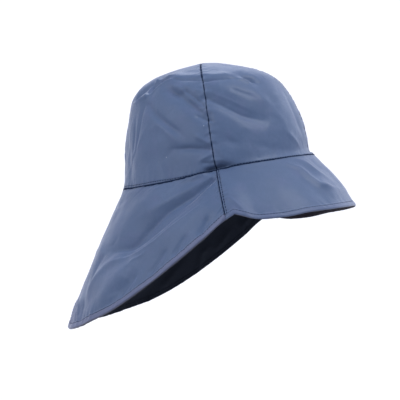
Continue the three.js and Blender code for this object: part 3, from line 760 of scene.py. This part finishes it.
# Materials
class Shader:
    """A material. Each method adds nodes and gives their output."""

    def __init__(self, name):
        self.material = bpy.data.materials.new(name)
        self.material.use_nodes = True
        self.nodes, self.links = self.material.node_tree.nodes, self.material.node_tree.links
        self.place = self.node("ShaderNodeTexCoord").outputs["Object"]

    def feed(self, value, socket):
        if isinstance(value, bpy.types.NodeSocket):
            self.links.new(value, socket)
        elif value is not None:
            socket.default_value = value

    def dress(self, values):
        """Sets or links the sockets of the surface."""
        for name, value in values.items():
            self.feed(value, self.nodes["Principled BSDF"].inputs[name])

    def node(self, kind, **settings):
        made = self.nodes.new(kind)
        for key, value in settings.items():
            if key in made.inputs:
                self.feed(value, made.inputs[key])
            else:
                setattr(made, key, value)
        return made

    def mark(self, name):
        return self.node("ShaderNodeAttribute", attribute_name=name).outputs["Fac"]

    def maths(self, operation, *values, clamp=False):
        made = self.node("ShaderNodeMath", operation=operation, use_clamp=clamp)
        for socket, value in zip(made.inputs, values):
            self.feed(value, socket)
        return made.outputs[0]

    def times(self, first, second):
        return self.maths("MULTIPLY", first, second)

    def mixed(self, factor, first, second):
        made = self.node("ShaderNodeMix", data_type="RGBA")
        for index, value in ((0, factor), (6, first), (7, second)):
            self.feed(value, made.inputs[index])
        return made.outputs[2]

    def remapped(self, value, low, high, to_low, to_high):
        made = self.node("ShaderNodeMapRange", clamp=True)
        for socket, number in zip(made.inputs, (value, low, high, to_low, to_high)):
            self.feed(number, socket)
        return made.outputs[0]

    def noise(self, scale, detail=4.0, roughness=0.55, distortion=0.0):
        return self.node("ShaderNodeTexNoise", Vector=self.place, Scale=scale, Detail=detail,
                         Roughness=roughness, Distortion=distortion).outputs["Fac"]

    def weave(self, pitch):
        """A plain weave: over and under along both threads of the cloth."""
        split = self.node("ShaderNodeSeparateXYZ", Vector=self.node("ShaderNodeUVMap").outputs[0])
        turns = [self.times(split.outputs[k], 2 * math.pi / pitch) for k in (0, 1)]
        return self.times(*[self.maths("SINE", turn) for turn in turns])

    def bump(self, height, distance, strength, under=None):
        made = self.node("ShaderNodeBump", Strength=strength, Distance=distance, Height=height)
        self.feed(under, made.inputs["Normal"])
        return made.outputs[0]


COAT_BLUE = (0.082, 0.126, 0.238, 1)
COAT_DEEP = (0.069, 0.109, 0.211, 1)
COAT_VIOLET = (0.096, 0.124, 0.246, 1)
# Paler coat of worn and scuffed places, also the painted sheen of the lower flap
COAT_WORN_AND_LIT = (0.190, 0.225, 0.340, 1)
DUST = (0.40, 0.44, 0.52, 1)
# Paler hem band, also the painted highlight and sheen at the flap's tip and nape
HEM_AND_SHEEN_TONE = (0.158, 0.156, 0.262, 1)
# Painted shade at the hem's very edge
EDGE_SHADE_BROWN = (0.040, 0.038, 0.062, 1)
# Painted shade of the seams' grooves
PAINTED_SEAM_SHADE = (0.006, 0.012, 0.036, 1)
THREAD_NAVY = (0.003, 0.010, 0.034, 1), (0.010, 0.022, 0.060, 1)
# One dark lining in two painted copies: the flap's shaded and darker, the brim's lit, paler and browner
LINING_SHADED_NAVY = (0.013, 0.018, 0.032, 1), (0.008, 0.011, 0.020, 1), (0.022, 0.028, 0.044, 1)
LINING_LIT_PLUM = (0.034, 0.030, 0.044, 1), (0.020, 0.018, 0.030, 1), (0.050, 0.046, 0.062, 1)
COAT_WEAVE, LINING_WEAVE = 0.0005, 0.0009  # length of two threads


def coated_cloth(name, worn_and_lit_share):
    """Woven cloth under a thin smooth coat: worn, scuffed and dusty places, painted sheen and shade."""
    cloth = Shader(name)
    broad, patches, fine = cloth.noise(22, 3), cloth.noise(60, 4, 0.6, 0.4), cloth.noise(420, 5, 0.65)
    colour = cloth.mixed(cloth.remapped(broad, 0.35, 0.65, 0, 1), COAT_DEEP, COAT_BLUE)
    colour = cloth.mixed(cloth.remapped(patches, 0.5, 0.75, 0, 0.55), colour, COAT_VIOLET)
    # The wear mark is real wear, and on the flap a painted sheen
    worn_and_painted_light = cloth.times(cloth.mark("wear_and_painted_light"), cloth.remapped(fine, 0.38, 0.62, 0.2, 1.0))
    colour = cloth.mixed(cloth.times(worn_and_painted_light, worn_and_lit_share), colour, COAT_WORN_AND_LIT)
    scuffs = cloth.remapped(cloth.noise(150, 2, 0.5, 3.0), 0.70, 0.74, 0, 0.35)
    scuffed = cloth.times(scuffs, cloth.remapped(fine, 0.45, 0.6, 0, 1))
    colour = cloth.mixed(scuffed, colour, COAT_WORN_AND_LIT)
    colour = cloth.mixed(cloth.remapped(cloth.noise(330, 3, 0.6), 0.35, 0.65, 0, 0.5), colour, COAT_DEEP)
    dust = cloth.node("ShaderNodeTexVoronoi", Scale=75.0, Vector=cloth.place)
    chance = cloth.node("ShaderNodeSeparateColor", Color=dust.outputs["Color"]).outputs[0]
    speck = cloth.times(cloth.remapped(dust.outputs["Distance"], 0.02, 0.045, 1, 0),
                        cloth.remapped(chance, 0.86, 0.88, 0, 0.75))
    colour = cloth.mixed(speck, colour, DUST)
    # Over the coat: the hem mark's paler tone and painted sheen, and the painted shade of the edge and seam
    # marks.
    for mark, tone in (("hem", HEM_AND_SHEEN_TONE), ("edge", EDGE_SHADE_BROWN), ("seam", PAINTED_SEAM_SHADE)):
        colour = cloth.mixed(cloth.mark(mark), colour, tone)
    rough = cloth.maths("MULTIPLY_ADD", fine, 0.08, cloth.remapped(patches, 0.3, 0.7, 0.36, 0.46))
    woven = cloth.bump(cloth.weave(COAT_WEAVE), 0.00003, 0.5)
    crinkled = cloth.bump(cloth.noise(230, 4, 0.6, 0.6), 0.00022, 0.45, woven)
    cloth.dress({
        "Base Color": colour,
        "Roughness": cloth.maths("MULTIPLY_ADD", cloth.mark("seam"), 0.4, rough, clamp=True),
        "Specular IOR Level": 0.22,
        "Coat Weight": 0.06,
        "Coat Roughness": 0.18,
        "Sheen Weight": 0.22,
        "Sheen Roughness": 0.35,
        "Sheen Tint": (0.78, 0.80, 1.0, 1),
        "Normal": cloth.bump(cloth.noise(70, 3, 0.5, 0.3), 0.0006, 0.35, crinkled),
    })
    return cloth.material


def lining_cloth(name, base, deep, worn):
    """Dull woven cloth of three tones."""
    cloth = Shader(name)
    patches, fibres = cloth.noise(45), cloth.noise(900, 3)
    woven = cloth.weave(LINING_WEAVE)
    colour = cloth.mixed(patches, base, deep)
    colour = cloth.mixed(cloth.remapped(woven, -1, 1, 0, 0.35), colour, worn)
    cloth.dress({
        # Painted shade: darker by the wear mark at the edge under the hem
        "Base Color": cloth.mixed(cloth.times(cloth.mark("wear_and_painted_light"), 0.5), colour, deep),
        "Roughness": cloth.remapped(fibres, 0.3, 0.7, 0.75, 0.9),
        "Specular IOR Level": 0.12,
        "Sheen Weight": 0.06,
        "Sheen Roughness": 0.5,
        "Normal": cloth.bump(woven, 0.0001, 0.6, cloth.bump(fibres, 0.0001, 0.4)),
    })
    return cloth.material


def thread_cloth(name):
    thread = Shader(name)
    strands = thread.noise(2500, 2)
    thread.dress({
        "Base Color": thread.mixed(strands, *THREAD_NAVY),
        "Roughness": 0.8,
        "Specular IOR Level": 0.05,
        "Normal": thread.bump(strands, 0.00005, 0.5),
    })
    return thread.material


# Make and dress the pieces
gores = {name: gore(name, first, last, seed, unrest) for name, first, last, seed, unrest in (
    ("gore_front_left", 0, 90, 11, 0.6),
    ("gore_back_left", 90, 180, 23, 0.9),
    ("gore_back_right", -180, -90, 37, 0.9),
    ("gore_front_right", -90, 0, 41, 0.6),
)}
brim = skirt_cloth("brim_cloth", -SIDE_SEAM, SIDE_SEAM, 220, 92, 53, 50, 0.3, True, STITCH_LINE)
flap = skirt_cloth("flap_cloth", SIDE_SEAM, 360 - SIDE_SEAM, 272, 158, 67, 120, 0.9, False, FLAP_STITCH_LINE)
brim_under = skirt_lining("brim_lining_cloth", -SIDE_SEAM, SIDE_SEAM, 150, 50, 71)
flap_inside = skirt_lining("flap_lining_cloth", SIDE_SEAM, 360 - SIDE_SEAM, 190, 90, 83)

crown_skin = coated_cloth("coated_cloth_crown", 0.5)
skirt_skin = coated_cloth("coated_cloth_skirt", 0.6)
# Shaded and lit copies of the one lining cloth
flap_lining_shaded = lining_cloth("lining_shaded_navy", *LINING_SHADED_NAVY)
brim_lining_lit = lining_cloth("lining_lit_plum", *LINING_LIT_PLUM)
navy_thread = thread_cloth("navy_thread")

brim_thread = stitches("brim_hem_stitches", [line_across(brim, 0, STITCH_LINE, brim.up)], 0.6 * THREAD)
flap_thread = stitches("flap_hem_stitches", [line_across(flap, 0, FLAP_STITCH_LINE, flap.up)], 0.85 * THREAD)
band_threads = [stitches(name + "_stitches", [
    line_across(part, 0, band_stitch_place(part.angle[0]), part.up)], 0.85 * THREAD)
    for name, part in gores.items()]
above_hem = len(HEM_ROWS) - 6  # the row where the side seam's stitches begin
side_thread = stitches("side_seam_stitches", [
    [values[above_hem:] for values in line_across(part, 1, SIDE_STITCH, part.from_first)]
    for part in (brim, mirrored_columns(brim))])

# Thread sunk in the seams, dark and wide as a painted shade of their grooves. The gores' is wider over the
# top, the band's is wider behind the side seams, and the side seams' goes deep by the hem
levels, rises = np.linspace(0, 9.9, FINE), np.linspace(0.03, 1, FINE)
turns = np.linspace(-180, 180, 3 * FINE)
over_top = near_top(levels)
behind = smooth((np.abs(turns) - 70) / 40)
by_hem = 1 - smooth((rises - 0.06) / 0.04)
seam_shade_runs = [run_along(crown_at, np.full(FINE, float(side)), levels, 0.00045 + 0.0004 * over_top,
                  0.00050 + 0.0002 * over_top, 200 + side) for side in (-90, 0, 90, 180)]
seam_shade_runs.append(run_along(crown_at, turns, 0 * turns, 0.0007 + 0.0003 * behind, 0.0004 + 0.0001 * behind, 301))
seam_shade_runs += [run_along(skirt_at, np.full(FINE, side), rises, np.full(FINE, 0.0006), 0.00045 + 0.002 * by_hem,
                   400 + int(side)) for side in (-SIDE_SEAM, SIDE_SEAM)]
seams = tubes("seam_shade_thread", THREAD_SIDES, seam_shade_runs)

for part in gores.values():
    part.piece.data.materials.append(crown_skin)
for part, lining in ((brim, brim_lining_lit), (flap, flap_lining_shaded)):
    mesh = part.piece.data
    mesh.materials.append(skirt_skin)
    mesh.materials.append(lining)
    inside = (part.all_rows - 1) * (part.outer.shape[1] - 1)  # faces on each of its two sides
    face_skin = np.zeros(len(mesh.polygons), dtype=np.int32)
    face_skin[inside: 2 * inside] = 1
    mesh.polygons.foreach_set("material_index", face_skin)
brim_under.data.materials.append(brim_lining_lit)
flap_inside.data.materials.append(flap_lining_shaded)
for piece in (brim_thread, flap_thread, *band_threads, side_thread, seams):
    piece.data.materials.append(navy_thread)
    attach(piece, "root")

FRONT_GORE, BACK_GORE = (0.165, 0.136, 0.0157), (0.167, 0.157, 0.0188)
GORE_CUTS = [  # gore, its width, length and area laid flat, and the two gores that it is sewn to
    ("front_left", FRONT_GORE, "front_right", "back_left"),
    ("back_left", BACK_GORE, "front_left", "back_right"),
    ("back_right", BACK_GORE, "front_right", "back_left"),
    ("front_right", FRONT_GORE, "front_left", "back_right"),
]
CUTS = [(f"gore_{side}", f"crown_{side}", "coated_cloth", flat, "stretched", [f"gore_{a}", f"gore_{b}"],
         [f"gore_{side}_stitches"]) for side, flat, a, b in GORE_CUTS]
CUTS += [  # cloth, node, slot, its width, length and area laid flat, how it is held, by what, and its threads
    ("brim_cloth", "brim", "coated_cloth", (0.304, 0.119, 0.0210), "stretched",
     ["gore_front_left", "gore_front_right"], ["brim_hem_stitches", "side_seam_stitches"]),
    ("flap_cloth", "neck_flap", "coated_cloth", (0.371, 0.225, 0.0505), "hung",
     ["gore_back_left", "gore_back_right", "brim_cloth"], ["flap_hem_stitches"]),
    ("brim_lining_cloth", "brim_lining", "dark_lining", (0.302, 0.118, 0.0206), "stretched",
     ["brim_cloth"], []),
    ("flap_lining_cloth", "flap_lining", "dark_lining", (0.369, 0.223, 0.0496), "hung",
     ["flap_cloth"], []),
]
for name, stands_for, slot, (width, length, area), held, held_by, threads in CUTS:
    piece = bpy.data.objects[name]
    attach(piece, "root")
    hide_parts(stands_for)


# Stage, light and camera
VIEW_TURN = math.radians(10.76)  # the camera stands this far round from the wearer's right to the front
VIEW_DISTANCE = 1.32
VIEW_HEIGHT = -0.0479
VIEW_AIM = (-0.0201, -0.0294)  # across and up from the origin, where the middle of the picture is
PICTURE_WIDTH = 0.4237  # that the picture spans at the origin
ACROSS = Vector((math.cos(VIEW_TURN), math.sin(VIEW_TURN), 0))
AWAY = Vector((-math.sin(VIEW_TURN), math.cos(VIEW_TURN), 0))
UP = Vector((0, 0, 1))
FLOOR_HEIGHT, FLOOR_RADIUS, WALL_RADIUS, WALL_TOP = -1.15, 2.6, 4.2, 4.0
STAGE_GLOW = (0.06, 0.86)  # of the stage behind the camera and behind the hat
COOL, SKY_STRENGTH = (0.80, 0.86, 1.0), 0.5


def bowl():
    """A pale floor that sweeps up into a round wall."""
    bend = WALL_RADIUS - FLOOR_RADIUS
    profile = [(0.001, FLOOR_HEIGHT), (FLOOR_RADIUS, FLOOR_HEIGHT)]
    for turn in np.linspace(0, math.pi / 2, 12)[1:]:
        profile.append((FLOOR_RADIUS + bend * math.sin(turn), FLOOR_HEIGHT + bend * (1 - math.cos(turn))))
    profile.append((WALL_RADIUS, WALL_TOP))
    turns = np.linspace(0, 2 * math.pi, 96, endpoint=False)
    points = np.array([[(r * math.cos(t), r * math.sin(t), z) for t in turns] for r, z in profile])
    grid = np.arange(points.shape[0] * points.shape[1]).reshape(points.shape[:2])
    after = np.roll(grid, -1, 1)
    quads = np.stack([grid[:-1], after[:-1], after[1:], grid[1:]], -1).reshape(-1, 4)
    stage = mesh_object("pale_floor", points.reshape(-1, 3), quads)
    paint = Shader("pale_floor")
    depth = paint.node("ShaderNodeVectorMath", operation="DOT_PRODUCT")
    paint.feed(paint.place, depth.inputs[0])
    paint.feed(AWAY, depth.inputs[1])
    paint.dress({
        "Base Color": (0.3, 0.3, 0.3, 1),
        "Roughness": 0.9,
        "Emission Color": (0.89, 0.91, 1, 1),
        "Emission Strength": paint.remapped(depth.outputs["Value"], -2.0, 0.6, *STAGE_GLOW),
    })
    stage.data.materials.append(paint.material)


def soft_light(name, across, away, up, size, power, colour=(1.0, 1.0, 1.0)):
    lamp = bpy.data.lights.new(name, "AREA")
    lamp.shape, lamp.size = "DISK", size
    lamp.energy, lamp.color = power, colour
    holder = placed(name, lamp)
    holder.location = ACROSS * across + AWAY * away + UP * up
    holder.rotation_euler = (-holder.location).to_track_quat("-Z", "Y").to_euler()


bowl()
soft_light("back_right", 1.5, 1.1, 1.0, 1.2, 7, COOL)
soft_light("top_back", -0.1, 1.3, 2.0, 1.4, 18, COOL)
soft_light("front_right", 1.1, -1.2, 1.9, 1.7, 48)
soft_light("front_left", -1.7, -1.3, 0.8, 1.8, 22.5)
world = bpy.data.worlds.new("studio")
world.use_nodes = True
sky = world.node_tree.nodes["Background"].inputs
sky["Color"].default_value, sky["Strength"].default_value = (1, 1, 1, 1), SKY_STRENGTH
bpy.context.scene.world = world
bpy.context.scene.view_settings.view_transform = "Standard"

lens = bpy.data.cameras.new("camera")
lens.sensor_width = 36
lens.lens = lens.sensor_width * VIEW_DISTANCE / PICTURE_WIDTH
camera = placed("camera", lens)
camera.location = AWAY * -VIEW_DISTANCE + UP * VIEW_HEIGHT
aim = ACROSS * VIEW_AIM[0] + UP * VIEW_AIM[1]
camera.rotation_mode = "QUATERNION"
camera.rotation_quaternion = (aim - camera.location).to_track_quat("-Z", "Y")
bpy.context.scene.camera = camera
